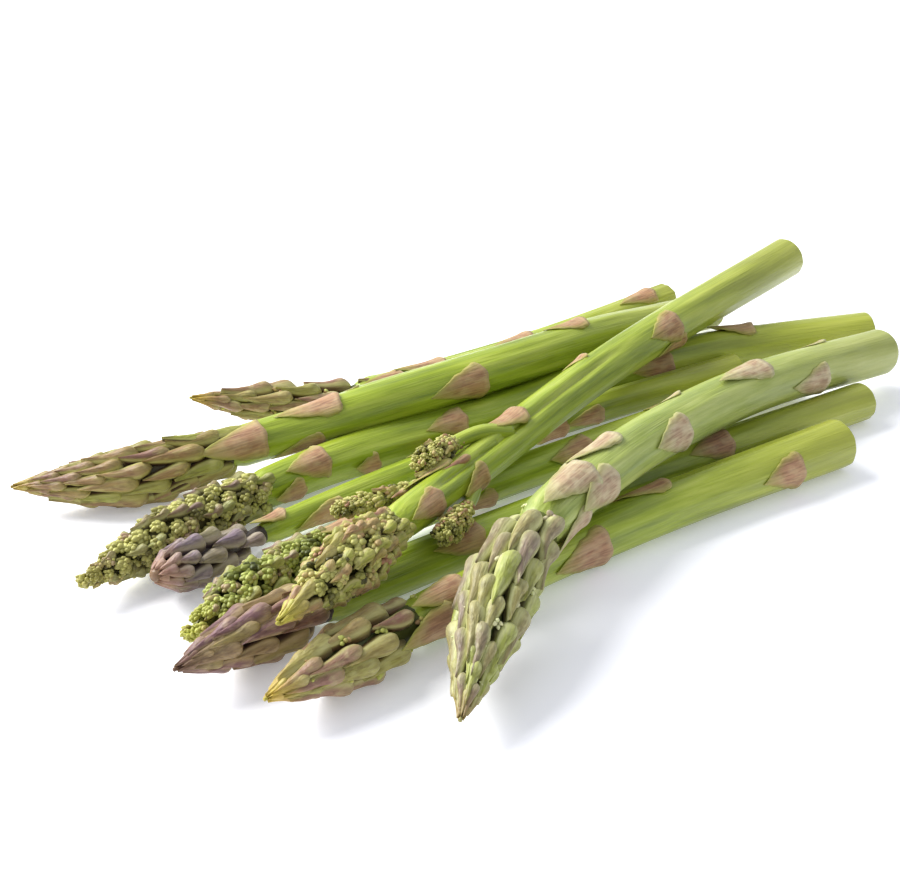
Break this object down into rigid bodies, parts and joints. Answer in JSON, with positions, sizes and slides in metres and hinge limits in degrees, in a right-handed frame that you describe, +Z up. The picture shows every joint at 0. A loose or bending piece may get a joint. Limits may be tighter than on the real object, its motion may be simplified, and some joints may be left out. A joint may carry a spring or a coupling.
{
  "type": "bundle of asparagus",
  "caption": "Loose bunch of fresh green asparagus spears lying side by side, some across the others, with bracted and budded heads and cut butts.",
  "frame": {"origin": "middle of the bunch's box, on the surface it lies on", "axes": "+Z up, +X along the spears from the heads to the cut butts"},
  "size_m": [0.2253, 0.1291, 0.0237],
  "materials": {
    "stem_green": "satin",
    "stem_waxy": "satin",
    "head_purple": "satin",
    "head_olive": "satin",
    "head_green": "satin",
    "scale_leaf": "satin",
    "cut_end": "satin"
  },
  "bodies": {
    "root": {"spear_1_head": "head_olive", "spear_1_stem": "stem_waxy", "spear_2_head": "head_olive", "spear_2_stem": "stem_green", "spear_3_head": "head_olive", "spear_3_stem": "stem_green", "spear_4_head": "head_purple", "spear_4_stem": "stem_green", "spear_5_head": "head_green", "spear_5_stem": "stem_green", "spear_6_head": "head_purple", "spear_6_stem": "stem_green", "spear_7_head": "head_green", "spear_7_stem": "stem_green", "spear_8_head": "head_purple", "spear_8_stem": "stem_green", "spear_9_head": "head_olive", "spear_9_stem": "stem_green"}
  },
  "joints": []
}
